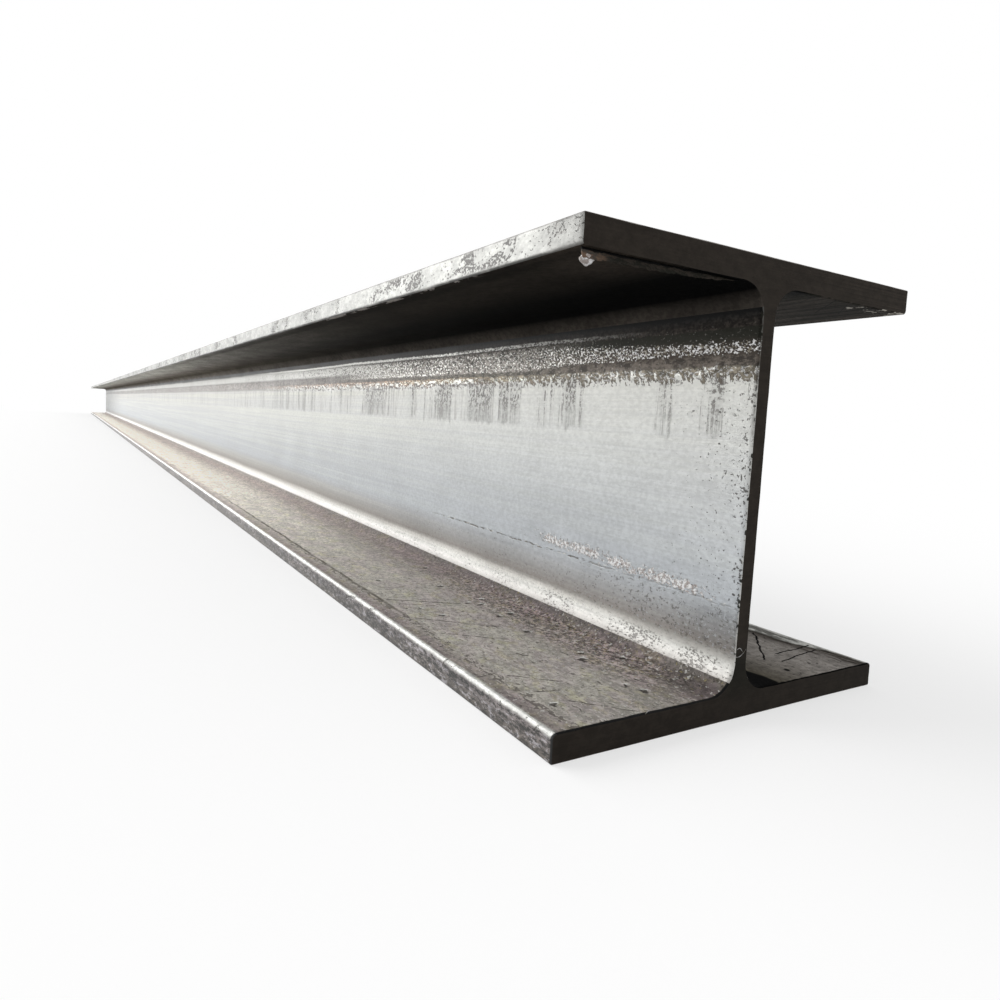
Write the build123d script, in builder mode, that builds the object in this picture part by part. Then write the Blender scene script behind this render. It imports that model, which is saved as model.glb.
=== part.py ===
from build123d import *
import os

# A length of hot-rolled wide-flange steel beam, lying on one flange and sawn square
# at both ends. It is one piece: two parallel flanges and the web between them.
# Millimetres. X runs along the beam, Y across the flanges and Z up.
# The origin is the middle of the face that the beam lies on.

# Driving dimensions
beam_length = 6000.0
section_depth = 200.0
flange_width = 200.0
flange_thickness = 12.0
web_thickness = 8.0
root_radius = 13.0
toe_inner_radius = 2.0
toe_outer_radius = 0.8

# Worked out from them
flange_pitch = section_depth - flange_thickness
sawn_end = Plane(
    origin=(-beam_length / 2, 0, section_depth / 2),
    x_dir=(0, 1, 0),
    z_dir=(1, 0, 0),
)

# The section is drawn about its own centre, with its X across the flanges and its Y up
# the web, and is then run along the beam from one sawn end to the other.
with BuildPart() as h_beam:
    with BuildSketch(sawn_end) as section:
        # Both flanges, and the web from one flange's middle to the other's.
        with GridLocations(0, flange_pitch, 1, 2):
            Rectangle(flange_width, flange_thickness)
        Rectangle(web_thickness, flange_pitch)

        # Root radii, in the four corners where the web runs into a flange.
        columns = section.vertices().group_by(Axis.X)
        web_left, web_right = columns[1], columns[2]
        fillet(web_left + web_right, radius=root_radius)

        # The rolls leave the flange toes soft on the side that faces the web's hollow.
        columns = section.vertices().group_by(Axis.X)
        toe_rows = (columns[0] + columns[-1]).group_by(Axis.Y)
        fillet(toe_rows[1] + toe_rows[2], radius=toe_inner_radius)

        # The corners on the outer faces are almost sharp.
        rows = section.vertices().group_by(Axis.Y)
        fillet(rows[0] + rows[-1], radius=toe_outer_radius)
    extrude(amount=beam_length)
h_beam.part.label = "h_beam"

os.makedirs("parts", exist_ok=True)
export_step(h_beam.part, "parts/h_beam.step")
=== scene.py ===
import math

import bpy
import numpy as np
from bpy.props import FloatProperty, FloatVectorProperty, IntProperty, PointerProperty
from mathutils import Matrix, Vector


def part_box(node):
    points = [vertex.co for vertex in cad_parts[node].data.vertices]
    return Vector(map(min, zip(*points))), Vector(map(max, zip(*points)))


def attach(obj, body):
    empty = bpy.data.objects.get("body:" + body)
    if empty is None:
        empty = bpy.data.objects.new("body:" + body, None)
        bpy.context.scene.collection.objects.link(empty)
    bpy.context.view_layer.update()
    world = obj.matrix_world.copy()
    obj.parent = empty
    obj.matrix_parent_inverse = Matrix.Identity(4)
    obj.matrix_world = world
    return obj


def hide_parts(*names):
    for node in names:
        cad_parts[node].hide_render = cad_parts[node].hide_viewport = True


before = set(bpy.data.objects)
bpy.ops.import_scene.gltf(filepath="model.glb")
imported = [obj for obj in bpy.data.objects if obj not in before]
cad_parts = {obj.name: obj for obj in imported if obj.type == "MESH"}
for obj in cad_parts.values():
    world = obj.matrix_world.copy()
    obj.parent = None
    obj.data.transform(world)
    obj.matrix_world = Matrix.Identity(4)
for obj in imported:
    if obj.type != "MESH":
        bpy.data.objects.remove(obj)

bl_info = {
    "name": "Rolled Steel Beam",
    "version": (1, 0, 0),
    "blender": (4, 5, 0),
    "location": "View3D > Sidebar > Beam",
    "description": "A length of hot-rolled wide-flange beam with its mill scale, wear and sawn ends",
    "category": "Add Mesh",
}

NODE = "h_beam"
BODY = "root"
LOW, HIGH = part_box(NODE)
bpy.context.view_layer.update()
SKIN_MAP = "along_and_around"


def seen(red, green, blue):
    """A colour as the eye reads it on a screen, 0 to 255, as the linear values that a shader takes."""
    share = np.array([red, green, blue]) / 255
    linear = np.where(share <= 0.04045, share / 12.92, ((share + 0.055) / 1.055) ** 2.4)
    return tuple(float(value) for value in linear)


# Colours of the steel and its dirt, and of the painted light and shade on it, in round values, picked with readings
# of the photo in view.
# The ramps below are thinned from tables worked out from such readings, and keep most of their heights.
BLACK = seen(10, 10, 10)
SOOT_AND_SHADE = seen(30, 30, 25)
DARK_DIRT_AND_SHADE = seen(50, 45, 40)
DIRT_AND_SHADE = seen(75, 70, 65)
BROWN_DIRT = seen(95, 90, 80)
GREY_DIRT = seen(120, 115, 110)
DULL_SCALE = seen(150, 145, 140)
BROWN_SCALE = seen(160, 150, 145)
SCALE = seen(175, 175, 175)
BLUE_SCALE = seen(180, 185, 190)
PALE_BROWN = seen(205, 200, 190)
PALE_SCALE = seen(205, 205, 200)
BRIGHT_STEEL_AND_HIGHLIGHT = seen(220, 220, 215)
WHITE_STEEL = seen(235, 235, 235)
RUST = seen(115, 95, 80)
AMBER_DIRT = seen(150, 140, 95)


# Settings


class BeamSizes(bpy.types.PropertyGroup):
    """The rolled section, the cut and how finely the surface is worked out."""

    length: FloatProperty(
        name="Length", description="Length between the sawn ends", default=HIGH.x - LOW.x, unit="LENGTH")
    width: FloatProperty(
        name="Flange width", description="Width of both flanges", default=HIGH.y - LOW.y, unit="LENGTH")
    depth: FloatProperty(
        name="Depth", description="Height over both flanges", default=HIGH.z - LOW.z, unit="LENGTH")
    flange: FloatProperty(
        name="Flange thickness", description="Thickness of each flange", default=0.012, unit="LENGTH")
    web: FloatProperty(
        name="Web thickness", description="Thickness of the web", default=0.008, unit="LENGTH")
    root: FloatProperty(
        name="Root radius", description="Radius where the web runs into a flange", default=0.013, unit="LENGTH")
    toe_inner: FloatProperty(
        name="Inner toe radius", description="Radius of a toe on the web's side", default=0.002, unit="LENGTH")
    toe_outer: FloatProperty(
        name="Outer toe radius", description="Radius of a toe on the outer face", default=0.0008, unit="LENGTH")
    arris: FloatProperty(
        name="Arris", description="How far the saw breaks the cut edge", default=0.00035, unit="LENGTH")
    waviness: FloatProperty(
        name="Waviness", description="How deep the rolls and handling leave the faces uneven",
        default=0.00025, unit="LENGTH")
    stations: IntProperty(name="Stations", description="Sections worked out along the beam", default=330, min=8)
    end_density: FloatProperty(
        name="End density", description="How much closer the sections lie near the ends", default=2.1, min=0.1)


# Shapes


def arc(centre, radius, start, end, count):
    """Points on a quarter circle: the centre plus the radius times the cosine and sine of an angle that runs evenly
    from start to end, in degrees."""
    angle = np.radians(np.linspace(start, end, count))
    return np.column_stack([centre[0] + radius * np.cos(angle), centre[1] + radius * np.sin(angle)])


def run(start, end, count, margin=0.0008):
    """Points on a straight run, evenly spaced, with one more close to each end, so that a curve beside it doesn't
    pull its shading round."""
    length = math.dist(start, end)
    near = min(margin / length, 0.2)
    share = np.concatenate([[0.0], np.linspace(near, 1 - near, count), [1.0]])[:, None]
    return np.array(start) * (1 - share) + np.array(end) * share


def section_outline(size):
    """The section's outline, clockwise as seen from the near end, and where its parts lie along it.

    One quarter is worked out, from the middle of the upper flange's outer face, round the toe and the root, to the
    middle of the web: straight runs joined by quarter circles. It is mirrored into the other three, and the outline
    starts and ends at the middle of the lower flange's outer face. Distance round the outline is the running sum of
    the steps, less the half width, so that it is nought at the lower left toe."""
    half_width, half_depth, half_web = size.width / 2, size.depth / 2, size.web / 2
    inner = half_depth - size.flange
    outer_r, inner_r, root = size.toe_outer, size.toe_inner, size.root
    parts = [
        run((0, half_depth), (half_width - outer_r, half_depth), 15),
        arc((half_width - outer_r, half_depth - outer_r), outer_r, 90, 0, 4),
        run((half_width, half_depth - outer_r), (half_width, inner + inner_r), 4),
        arc((half_width - inner_r, inner + inner_r), inner_r, 0, -90, 5),
        run((half_width - inner_r, inner), (half_web + root, inner), 14),
        arc((half_web + root, inner - root), root, 90, 180, 11),
        run((half_web, inner - root), (half_web, 0), 13),
    ]
    quarter = np.concatenate([part[:-1] for part in parts] + [parts[-1][-1:]])
    up_left = quarter * [-1, -1]
    across_left = (quarter * [-1, 1])[::-1]
    down_right = quarter
    back_right = (quarter * [1, -1])[::-1]
    closed = np.concatenate([up_left[:-1], across_left[:-1], down_right[:-1], back_right])
    steps = np.linalg.norm(np.diff(closed, axis=0), axis=1)
    around = np.concatenate([[0.0], np.cumsum(steps)])
    ends = np.cumsum([np.linalg.norm(np.diff(part, axis=0), axis=1).sum() for part in parts])
    offset = ends[0] + (ends[1] - ends[0]) / 2
    marks = {
        "toe": ends[2] - offset,
        "ledge": ends[3] - offset,
        "root": ends[4] - offset,
        "web": ends[5] - offset,
        "top": around[-1] / 2 - offset,
    }
    closed[:, 1] += half_depth
    return closed[:-1], around - offset, marks


def outward(points):
    """Unit normals of a closed outline: the step from the point before to the point after, turned a quarter."""
    step = np.roll(points, -1, axis=0) - np.roll(points, 1, axis=0)
    normal = np.column_stack([-step[:, 1], step[:, 0]])
    return normal / np.linalg.norm(normal, axis=1)[:, None]


def wander(points, wavelength, seed, waves=28):
    """Smooth unevenness from 0 to 1 at points in space: a sum of cosine waves in directions, lengths and phases drawn
    from a seed, about the given wavelength along each axis."""
    draw = np.random.default_rng(seed)
    direction = draw.normal(size=(waves, 3))
    direction /= np.linalg.norm(direction, axis=1)[:, None]
    stretch = draw.uniform(0.6, 1.8, size=(waves, 1))
    phase = draw.uniform(0, 2 * math.pi, size=waves)
    turns = points @ (2 * math.pi * direction * stretch / np.array(wavelength)).T + phase
    return 0.5 + 0.5 * np.clip(np.cos(turns).sum(axis=-1) / math.sqrt(waves) / 1.6, -1, 1)


def rolled_surface(size):
    """The skin's points, as stations along the beam by points round the outline, with the distances along and round.

    Stations follow the hyperbolic tangent of an even run, which crowds them towards both ends. At each, the outline
    is carried along X and moved inwards, along its own normal, by the waviness times smooth unevenness. The last
    station at each end is drawn in by the arris, less on one spot than on the next as a saw leaves it."""
    outline, around, marks = section_outline(size)
    even = np.linspace(-1, 1, size.stations)
    along = size.length / 2 * np.tanh(size.end_density * even) / math.tanh(size.end_density)
    x = np.concatenate([[along[0]], along, [along[-1]]])
    x[1] += size.arris
    x[-2] -= size.arris
    normal = outward(outline)
    points = np.empty((len(x), len(outline), 3))
    points[..., 0] = x[:, None]
    points[..., 1:] = outline
    rolled = wander(points, (0.9, 0.12, 0.12), seed=11)
    handled = wander(points, (0.05, 0.03, 0.03), seed=12)
    depth = size.waviness * (0.7 * rolled + 0.3 * handled)
    depth[[0, -1]] += size.arris * (0.6 + 0.8 * wander(points[[0, -1]], (0.02, 0.006, 0.006), seed=13))
    points[..., 1:] -= depth[..., None] * normal
    points[..., 2] = np.maximum(points[..., 2], 0)
    return points, x, around, marks


def grid_faces(rows, columns, closed_round):
    """Quads between neighbouring points of a grid, each as four point numbers. Where the grid is closed round, the
    last column joins the first."""
    row = np.arange(rows - 1)[:, None]
    column = np.arange(columns if closed_round else columns - 1)[None, :]
    after = (column + 1) % columns
    first, second = row * columns + column, row * columns + after
    return np.stack([first, second, second + columns, first + columns], axis=-1).reshape(-1, 4)


def piece_from(name, points, faces, materials):
    """An object in the scene with this mesh, at the origin, smooth all over."""
    mesh = bpy.data.meshes.new(name)
    mesh.from_pydata(points.reshape(-1, 3), [], faces)
    mesh.polygons.foreach_set("use_smooth", np.ones(len(mesh.polygons), dtype=bool))
    for material in materials:
        mesh.materials.append(material)
    piece = bpy.data.objects.new(name, mesh)
    bpy.context.scene.collection.objects.link(piece)
    return piece


# Finishes


class Finish:
    """A material while it is put together. Most methods add a node and give back its output."""

    def __init__(self, name, roughness, metallic, specular=0.5):
        self.material = bpy.data.materials.new(name)
        self.material.use_nodes = True
        self.tree = self.material.node_tree
        self.shader = self.tree.nodes["Principled BSDF"]
        self.shader.inputs["Roughness"].default_value = roughness
        self.shader.inputs["Metallic"].default_value = metallic
        self.shader.inputs["Specular IOR Level"].default_value = specular
        self.place = self.add("ShaderNodeTexCoord").outputs["Object"]
        self.x, self.y, self.z = self.split(self.place)

    def add(self, kind, **settings):
        node = self.tree.nodes.new(kind)
        for name, value in settings.items():
            setattr(node, name, value)
        return node

    def put(self, socket, value):
        if isinstance(value, bpy.types.NodeSocket):
            self.tree.links.new(value, socket)
        elif socket.type == "RGBA" and len(value) == 3:
            socket.default_value = (*value, 1)
        else:
            socket.default_value = value

    def math(self, operation, first, second=0.0, third=0.0):
        node = self.add("ShaderNodeMath", operation=operation)
        for socket, value in zip(node.inputs, (first, second, third)):
            self.put(socket, value)
        return node.outputs["Value"]

    def plus(self, first, second):
        return self.math("ADD", first, second)

    def times(self, first, *others):
        for other in others:
            first = self.math("MULTIPLY", first, other)
        return first

    def most(self, first, *others):
        for other in others:
            first = self.math("MAXIMUM", first, other)
        return first

    def off(self, mask):
        """What is left of one after a mask."""
        return self.math("SUBTRACT", 1.0, mask)

    def split(self, vector):
        node = self.add("ShaderNodeSeparateXYZ")
        self.put(node.inputs["Vector"], vector)
        return node.outputs["X"], node.outputs["Y"], node.outputs["Z"]

    def join(self, x, y, z):
        node = self.add("ShaderNodeCombineXYZ")
        for socket, value in zip(node.inputs, (x, y, z)):
            self.put(socket, value)
        return node.outputs["Vector"]

    def rise(self, value, low, high, start=0.0, end=1.0):
        """From start, at low, to end, at high, on a smooth curve, and level beyond."""
        node = self.add("ShaderNodeMapRange", interpolation_type="SMOOTHSTEP")
        given = (("Value", value), ("From Min", low), ("From Max", high), ("To Min", start), ("To Max", end))
        for name, number in given:
            self.put(node.inputs[name], number)
        return node.outputs["Result"]

    def band(self, value, low, high, soft):
        """1 between low and high and 0 beyond, changing over the soft distance at each."""
        up = self.rise(value, low - soft / 2, low + soft / 2)
        return self.times(up, self.rise(value, high - soft / 2, high + soft / 2, 1.0, 0.0))

    def scaled(self, size, at=None, shift=0.0):
        """Coordinates in spots of this size, in metres, along X, Y and Z. The shift makes another pattern of them."""
        size = size if hasattr(size, "__len__") else (size, size, size)
        node = self.add("ShaderNodeVectorMath", operation="MULTIPLY_ADD")
        self.put(node.inputs[0], self.place if at is None else at)
        node.inputs[1].default_value = [1 / length for length in size]
        node.inputs[2].default_value = (shift, 1.7 * shift, 0.6 * shift)
        return node.outputs["Vector"]

    def grain(self, size, detail=2.0, rough=0.5, at=None, shift=0.0):
        """Soft noise about 0.5."""
        noise = self.add("ShaderNodeTexNoise")
        self.put(noise.inputs["Vector"], self.scaled(size, at, shift))
        noise.inputs["Scale"].default_value = 1.0
        noise.inputs["Detail"].default_value = detail
        noise.inputs["Roughness"].default_value = rough
        return noise.outputs["Fac"]

    def swing(self, size, reach, detail=2.0, at=None, shift=0.0):
        """Soft noise from about -reach to about +reach."""
        return self.math("MULTIPLY_ADD", self.grain(size, detail, 0.5, at, shift), 4 * reach, -2 * reach)

    def specks(self, size, share, detail=2.0, at=None, shift=0.0):
        """Ragged spots of about this size over about this share of the surface, as noise above a level. A share below
        two hundredths gives none."""
        level = self.math("MULTIPLY_ADD", share, -0.42, 0.70)
        over = self.math("SUBTRACT", self.grain(size, detail, 0.6, at, shift), level)
        return self.times(self.rise(over, -0.015, 0.015), self.rise(share, 0.005, 0.02))

    def contrast(self, value, low, high, dark, light):
        """A number from dark to light while noise goes from low to high, to multiply a colour by."""
        return self.rise(value, low, high, dark, light)

    def mix(self, share, first, second):
        node = self.add("ShaderNodeMix", data_type="RGBA")
        self.put(node.inputs["Factor"], share)
        self.put(node.inputs[6], first)
        self.put(node.inputs[7], second)
        return node.outputs[2]

    def tint(self, colour, factors):
        """A colour with its red, green and blue each times a number."""
        node = self.add("ShaderNodeVectorMath", operation="MULTIPLY")
        self.put(node.inputs[0], colour)
        node.inputs[1].default_value = factors
        return node.outputs["Vector"]

    def apart(self, first, second):
        """The distance between two places."""
        node = self.add("ShaderNodeVectorMath", operation="DISTANCE")
        self.put(node.inputs[0], first)
        self.put(node.inputs[1], second)
        return node.outputs["Value"]

    def shade(self, colour, factor):
        """A colour times a number."""
        node = self.add("ShaderNodeVectorMath", operation="SCALE")
        self.put(node.inputs[0], colour)
        self.put(node.inputs["Scale"], factor)
        return node.outputs["Vector"]

    def ramp(self, value, stops):
        """Colours through (value, colour) stops, in a straight line from each to the next."""
        low, high = stops[0][0], stops[-1][0]
        share = self.add("ShaderNodeMapRange")
        for name, number in (("Value", value), ("From Min", low), ("From Max", high)):
            self.put(share.inputs[name], number)
        node = self.add("ShaderNodeValToRGB")
        elements = node.color_ramp.elements
        while len(elements) < len(stops):
            elements.new(0.5)
        for element, (position, colour) in zip(elements, stops):
            element.position = (position - low) / (high - low)
            element.color = (*colour, 1)
        self.put(node.inputs["Fac"], share.outputs["Result"])
        return node.outputs["Color"]

    def bump(self, height, distance, before=None):
        node = self.add("ShaderNodeBump")
        node.inputs["Distance"].default_value = distance
        self.put(node.inputs["Height"], height)
        if before is not None:
            self.put(node.inputs["Normal"], before)
        return node.outputs["Normal"]

    def finish(self, colour, roughness=None, metallic=None, normal=None):
        given = {"Base Color": colour, "Roughness": roughness, "Metallic": metallic, "Normal": normal}
        for name, value in given.items():
            if value is not None:
                self.put(self.shader.inputs[name], value)
        return self.material


class SkinFinish(Finish):
    """A finish for the rolled skin, which knows how far along the beam and how far round the section a point is."""

    def __init__(self, name, size, marks, roughness, metallic, specular=0.5):
        super().__init__(name, roughness, metallic, specular)
        uv = self.add("ShaderNodeUVMap", uv_map=SKIN_MAP)
        self.along, around, _ = self.split(uv.outputs["UV"])
        self.folded = self.math("MINIMUM", around, self.math("SUBTRACT", 2 * marks["top"], around))
        self.right = self.math("GREATER_THAN", self.y, 0.0)
        self.left = self.off(self.right)
        self.across = self.math("ABSOLUTE", self.y)
        self.up_web = self.plus(self.folded, size.flange + size.root - marks["web"])
        self.flat = self.join(self.along, 0.0, self.up_web)
        self.level = self.join(self.along, self.y, 0.0)


# What covers the web, by height, from the lower root's foot to the upper root. The bright stop on the lower root is a
# painted highlight; above the dark band, painted shade goes to black up the upper root.
WEB_LAYERS = [
    (0.016, DULL_SCALE), (0.024, BRIGHT_STEEL_AND_HIGHLIGHT), (0.030, DULL_SCALE), (0.050, BLUE_SCALE), (0.148, PALE_SCALE),
    (0.152, DIRT_AND_SHADE), (0.165, DARK_DIRT_AND_SHADE), (0.178, BLACK),
]


def web_finish(size, marks):
    """The web and its lower root: bright blue-grey scale, a ragged dark band under the upper root with a speckled one
    over it, where painted shade with painted glints goes to black up the upper root and gives way to painted sheen
    away from the cut, streaks where water ran down, a border of loose flakes and a painted highlight on the lower
    root."""
    skin = SkinFinish("web_scale", size, marks, roughness=0.34, metallic=0.25)
    along, height = skin.along, skin.up_web
    fuzz = skin.swing((0.0035, 0.002, 0.002), 0.0005, detail=3)
    place = skin.plus(skin.plus(height, skin.swing((0.12, 1.0, 0.02), 0.0006, at=skin.flat)), fuzz)
    colour = skin.ramp(place, WEB_LAYERS)
    # A pale stripe over the band, coming in away from the cut, is painted sheen.
    stripe = skin.times(skin.band(place, 0.163, 0.173, 0.004), skin.rise(along, 0.2, 0.6, 0.0, 0.75))
    colour = skin.mix(stripe, colour, PALE_SCALE)
    # The dark band pales away from the cut.
    paling_band = skin.times(skin.band(place, 0.150, 0.162, 0.004), skin.rise(along, 0.3, 1.2))
    colour = skin.mix(paling_band, colour, GREY_DIRT)

    # The rolls leave faint lines along the web, and the scale is cloudy and grainy.
    lines = skin.grain((0.30, 1.0, 0.0013), 4, 0.7, at=skin.flat)
    clouds = skin.grain((0.06, 0.03, 0.03), 3)
    fine = skin.grain((0.0032, 0.0022, 0.0022), 4, 0.78)
    tone = skin.times(skin.contrast(lines, 0.36, 0.64, 0.95, 1.05), skin.contrast(clouds, 0.3, 0.7, 0.95, 1.05))
    colour = skin.shade(colour, skin.times(tone, skin.contrast(fine, 0.38, 0.62, 0.92, 1.08)))
    broad = skin.rise(skin.grain((1.6, 1.0, 0.0065), 4, 0.65, at=skin.flat, shift=63.0), 0.42, 0.60)
    on_web = skin.times(skin.band(height, 0.034, 0.147, 0.006), skin.rise(along, 0.15, 0.60, 0.3, 1.0))
    warmed = skin.tint(colour, (1.09, 1.09, 1.04))
    colour = skin.mix(skin.times(on_web, broad), skin.shade(colour, skin.rise(on_web, 0.0, 1.0, 1.0, 0.96)), warmed)

    # The painted highlight on the root widens away from the cut. The foot of the web is darker by the cut, and faint
    # grain shows in the painted shade over the band.
    widened = skin.times(skin.rise(along, 0.02, 0.13), skin.rise(along, 0.32, 0.48, 1.0, 0.35))
    colour = skin.shade(colour, skin.plus(1.0, skin.times(skin.band(place, 0.0238, 0.0280, 0.002), widened, 0.36)))
    foot = skin.times(skin.band(height, 0.0285, 0.0480, 0.006), skin.rise(along, 0.012, 0.045, 0.28, 0.0))
    colour = skin.shade(colour, skin.off(foot))
    haze = skin.grain((0.0026, 1.0, 0.0020), 4, 0.75, at=skin.flat, shift=33.0)
    in_dark = skin.times(skin.band(place, 0.1632, 0.1778, 0.002), skin.rise(along, 0.20, 0.45, 1.0, 0.0))
    colour = skin.shade(colour, skin.plus(1.0, skin.times(in_dark, skin.contrast(haze, 0.42, 0.62, -0.30, 1.30))))

    # The dark band's lower border breaks up into curly teeth by the cut, pale on dark, with pale bits among them.
    border = 0.1503
    lean = skin.join(skin.plus(along, skin.times(height, -0.30)), 0.0, height)
    curl = skin.swing((0.003, 1.0, 0.002), 0.0008, at=skin.flat, shift=6.0)
    curl = skin.plus(skin.plus(along, skin.times(height, -0.30)), curl)
    curly = skin.join(curl, 0.0, height)
    spikes = skin.grain((0.0025, 1.0, 0.0052), 2, 0.6, at=curly, shift=1.0)
    reach = skin.rise(along, 0.08, 0.22, 0.034, 0.018)
    jagged = skin.math("SUBTRACT", place, skin.times(skin.plus(spikes, -0.50), reach))
    bright = skin.mix(skin.rise(along, 0.15, 0.40), PALE_SCALE, BRIGHT_STEEL_AND_HIGHLIGHT)
    glint = skin.mix(skin.rise(along, 0.15, 0.40), SCALE, PALE_BROWN)
    dark = skin.mix(skin.rise(along, 0.10, 0.40), BROWN_DIRT, RUST)
    teeth = skin.mix(skin.rise(jagged, border - 0.0003, border + 0.0003), bright, dark)
    gap = skin.band(jagged, border - 0.0003, border + 0.0015, 0.0006)
    teeth = skin.mix(skin.times(gap, skin.rise(along, 0.10, 0.30, 0.75, 0.35)), teeth, DARK_DIRT_AND_SHADE)
    bits = skin.specks((0.0020, 1.0, 0.0014), 0.34, at=curly, shift=17.0)
    bits = skin.times(bits, skin.band(place, border - 0.0010, border + 0.0040, 0.0015))
    bits = skin.times(bits, skin.rise(jagged, border, border + 0.0010))
    teeth = skin.mix(skin.times(bits, 0.85), teeth, glint)
    holes = skin.specks((0.0020, 1.0, 0.0015), 0.28, at=curly, shift=19.0)
    holes = skin.times(holes, skin.band(place, border - 0.0036, border + 0.0010, 0.0015))
    teeth = skin.mix(skin.times(holes, 0.75), teeth, DIRT_AND_SHADE)
    in_teeth = skin.band(place, border - 0.0036, border + 0.0046, 0.0010)
    in_teeth = skin.times(in_teeth, skin.rise(along, 0.65, 1.0, 1.0, 0.0))
    colour = skin.mix(in_teeth, colour, teeth)
    mottle = skin.grain((0.0050, 0.003, 0.0026), 4, 0.75)
    in_band = skin.band(place, border + 0.001, 0.1625, 0.001)
    colour = skin.shade(colour, skin.plus(1.0, skin.times(in_band, skin.contrast(mottle, 0.38, 0.62, -0.55, 0.60))))
    greenish = skin.times(in_band, skin.rise(along, 0.10, 0.24), skin.rise(along, 0.3, 0.5, 1.0, 0.0))
    colour = skin.mix(greenish, colour, skin.tint(colour, (0.97, 1.02, 0.94)))

    # Bright specks over the band, painted glints on painted shade by the cut: ever denser away from the cut, and from
    # there on a bright stripe of painted sheen.
    top = skin.rise(along, 0.03, 0.18, 0.1668, 0.1716)
    share = skin.plus(skin.rise(along, 0.08, 0.20, 0.46, 0.37), skin.rise(along, 0.22, 0.50, 0.0, 0.36))
    under_top = skin.rise(skin.math("SUBTRACT", top, place), -0.0010, 0.0022)
    lowered = skin.plus(place, skin.rise(along, 0.09, 0.19, 0.0, 0.0024))
    share = skin.times(share, skin.math("MULTIPLY_ADD", under_top, 0.9, 0.06), skin.rise(lowered, 0.1592, 0.1612))
    near_specks = skin.specks((0.0016, 1.0, 0.0011), share, at=lean, shift=7.0)
    wide_specks = skin.specks((0.0028, 1.0, 0.0014), share, at=lean, shift=27.0)
    specks = skin.mix(skin.rise(along, 0.14, 0.26), near_specks, wide_specks)
    in_specks = skin.times(skin.rise(lowered, 0.1592, 0.1604), skin.rise(place, 0.1717, 0.1723, 1.0, 0.0))
    in_specks = skin.times(in_specks, skin.rise(along, 0.34, 0.62, 1.0, 0.0))
    bright_ones = skin.rise(skin.grain((0.0016, 0.0016, 0.0012), 2, 0.6, shift=14.0), 0.40, 0.58)
    near_shine = skin.mix(bright_ones, BROWN_DIRT, SCALE)
    shine = skin.mix(skin.rise(along, 0.07, 0.20), near_shine, skin.mix(bright_ones, BROWN_DIRT, BRIGHT_STEEL_AND_HIGHLIGHT))
    around_specks = skin.mix(skin.rise(place, 0.1625, 0.1690), DARK_DIRT_AND_SHADE, SOOT_AND_SHADE)
    salt = skin.rise(skin.grain((0.0034, 1.0, 0.0018), 3, 0.7, at=lean, shift=35.0), 0.40, 0.56)
    salted = skin.mix(salt, SOOT_AND_SHADE, GREY_DIRT)
    around_specks = skin.mix(skin.rise(along, 0.10, 0.24), around_specks, salted)
    specks = skin.times(specks, skin.rise(under_top, 0.0, 0.4, 0.35, 1.0))
    colour = skin.mix(in_specks, colour, skin.mix(specks, around_specks, shine))
    dots = skin.specks((0.0018, 1.0, 0.0012), skin.rise(along, 0.04, 0.20, 0.10, 0.20), at=skin.flat, shift=57.0)
    dots = skin.times(dots, skin.band(place, 0.1525, 0.1742, 0.002), skin.rise(along, 0.5, 1.0, 1.0, 0.0))
    dots = skin.times(dots, skin.rise(along, 0.02, 0.16, 0.25, 1.0))
    colour = skin.mix(skin.times(dots, 0.5), colour, DULL_SCALE)
    soot_and_shadow = skin.specks((0.0020, 1.0, 0.0013), skin.rise(along, 0.04, 0.20, 0.12, 0.22), at=skin.flat, shift=59.0)
    soot_and_shadow = skin.times(soot_and_shadow, skin.band(place, 0.1525, 0.1720, 0.002), skin.rise(along, 0.5, 1.0, 1.0, 0.0))
    colour = skin.mix(skin.times(soot_and_shadow, 0.6), colour, SOOT_AND_SHADE)
    pepper = skin.specks((0.0044, 1.0, 0.0017), skin.rise(along, 0.4, 1.2, 0.32, 0.0), at=skin.flat, shift=29.0)
    pepper = skin.times(pepper, skin.band(place, 0.1605, 0.1722, 0.0015), skin.rise(along, 0.16, 0.34))
    colour = skin.mix(skin.times(pepper, 0.8), colour, DARK_DIRT_AND_SHADE)
    groove = skin.times(skin.band(place, 0.1716, 0.1726, 0.0006), skin.rise(along, 0.16, 0.26))
    groove = skin.times(groove, skin.rise(along, 0.5, 0.8, 1.0, 0.0))
    colour = skin.mix(skin.times(groove, 0.7), colour, DARK_DIRT_AND_SHADE)

    # A thin line of light at the start of the upper root, which comes in gradually from the cut.
    light = skin.times(skin.band(place, 0.1727, 0.1745, 0.0008), skin.rise(along, 0.05, 0.32))
    beaded = skin.contrast(skin.grain((0.0024, 1.0, 0.0012), 3, 0.7, at=skin.flat, shift=61.0), 0.42, 0.56, 0.1, 1.0)
    beaded = skin.mix(skin.rise(along, 0.25, 0.6), beaded, (0.9, 0.9, 0.9))
    light = skin.times(light, skin.rise(along, 0.7, 1.1, 1.0, 0.0), beaded)
    colour = skin.mix(light, colour, BRIGHT_STEEL_AND_HIGHLIGHT)

    # Past the dense streaks, pale blots with dark undersides hang on the border.
    under = skin.join(skin.plus(along, -0.0015), 0.0, skin.plus(height, 0.0017))
    blot = skin.specks((0.0075, 1.0, 0.0026), 0.31, at=skin.flat, shift=21.0)
    shadow = skin.specks((0.0075, 1.0, 0.0026), 0.36, at=under, shift=21.0)
    in_blots = skin.times(skin.band(place, 0.1478, 0.1536, 0.0008), skin.rise(along, 0.20, 0.27))
    in_blots = skin.times(in_blots, skin.rise(along, 0.7, 0.95, 1.0, 0.0))
    colour = skin.mix(skin.times(shadow, in_blots, 0.8), colour, DIRT_AND_SHADE)
    colour = skin.mix(skin.times(blot, in_blots, 0.9), colour, PALE_SCALE)

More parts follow.
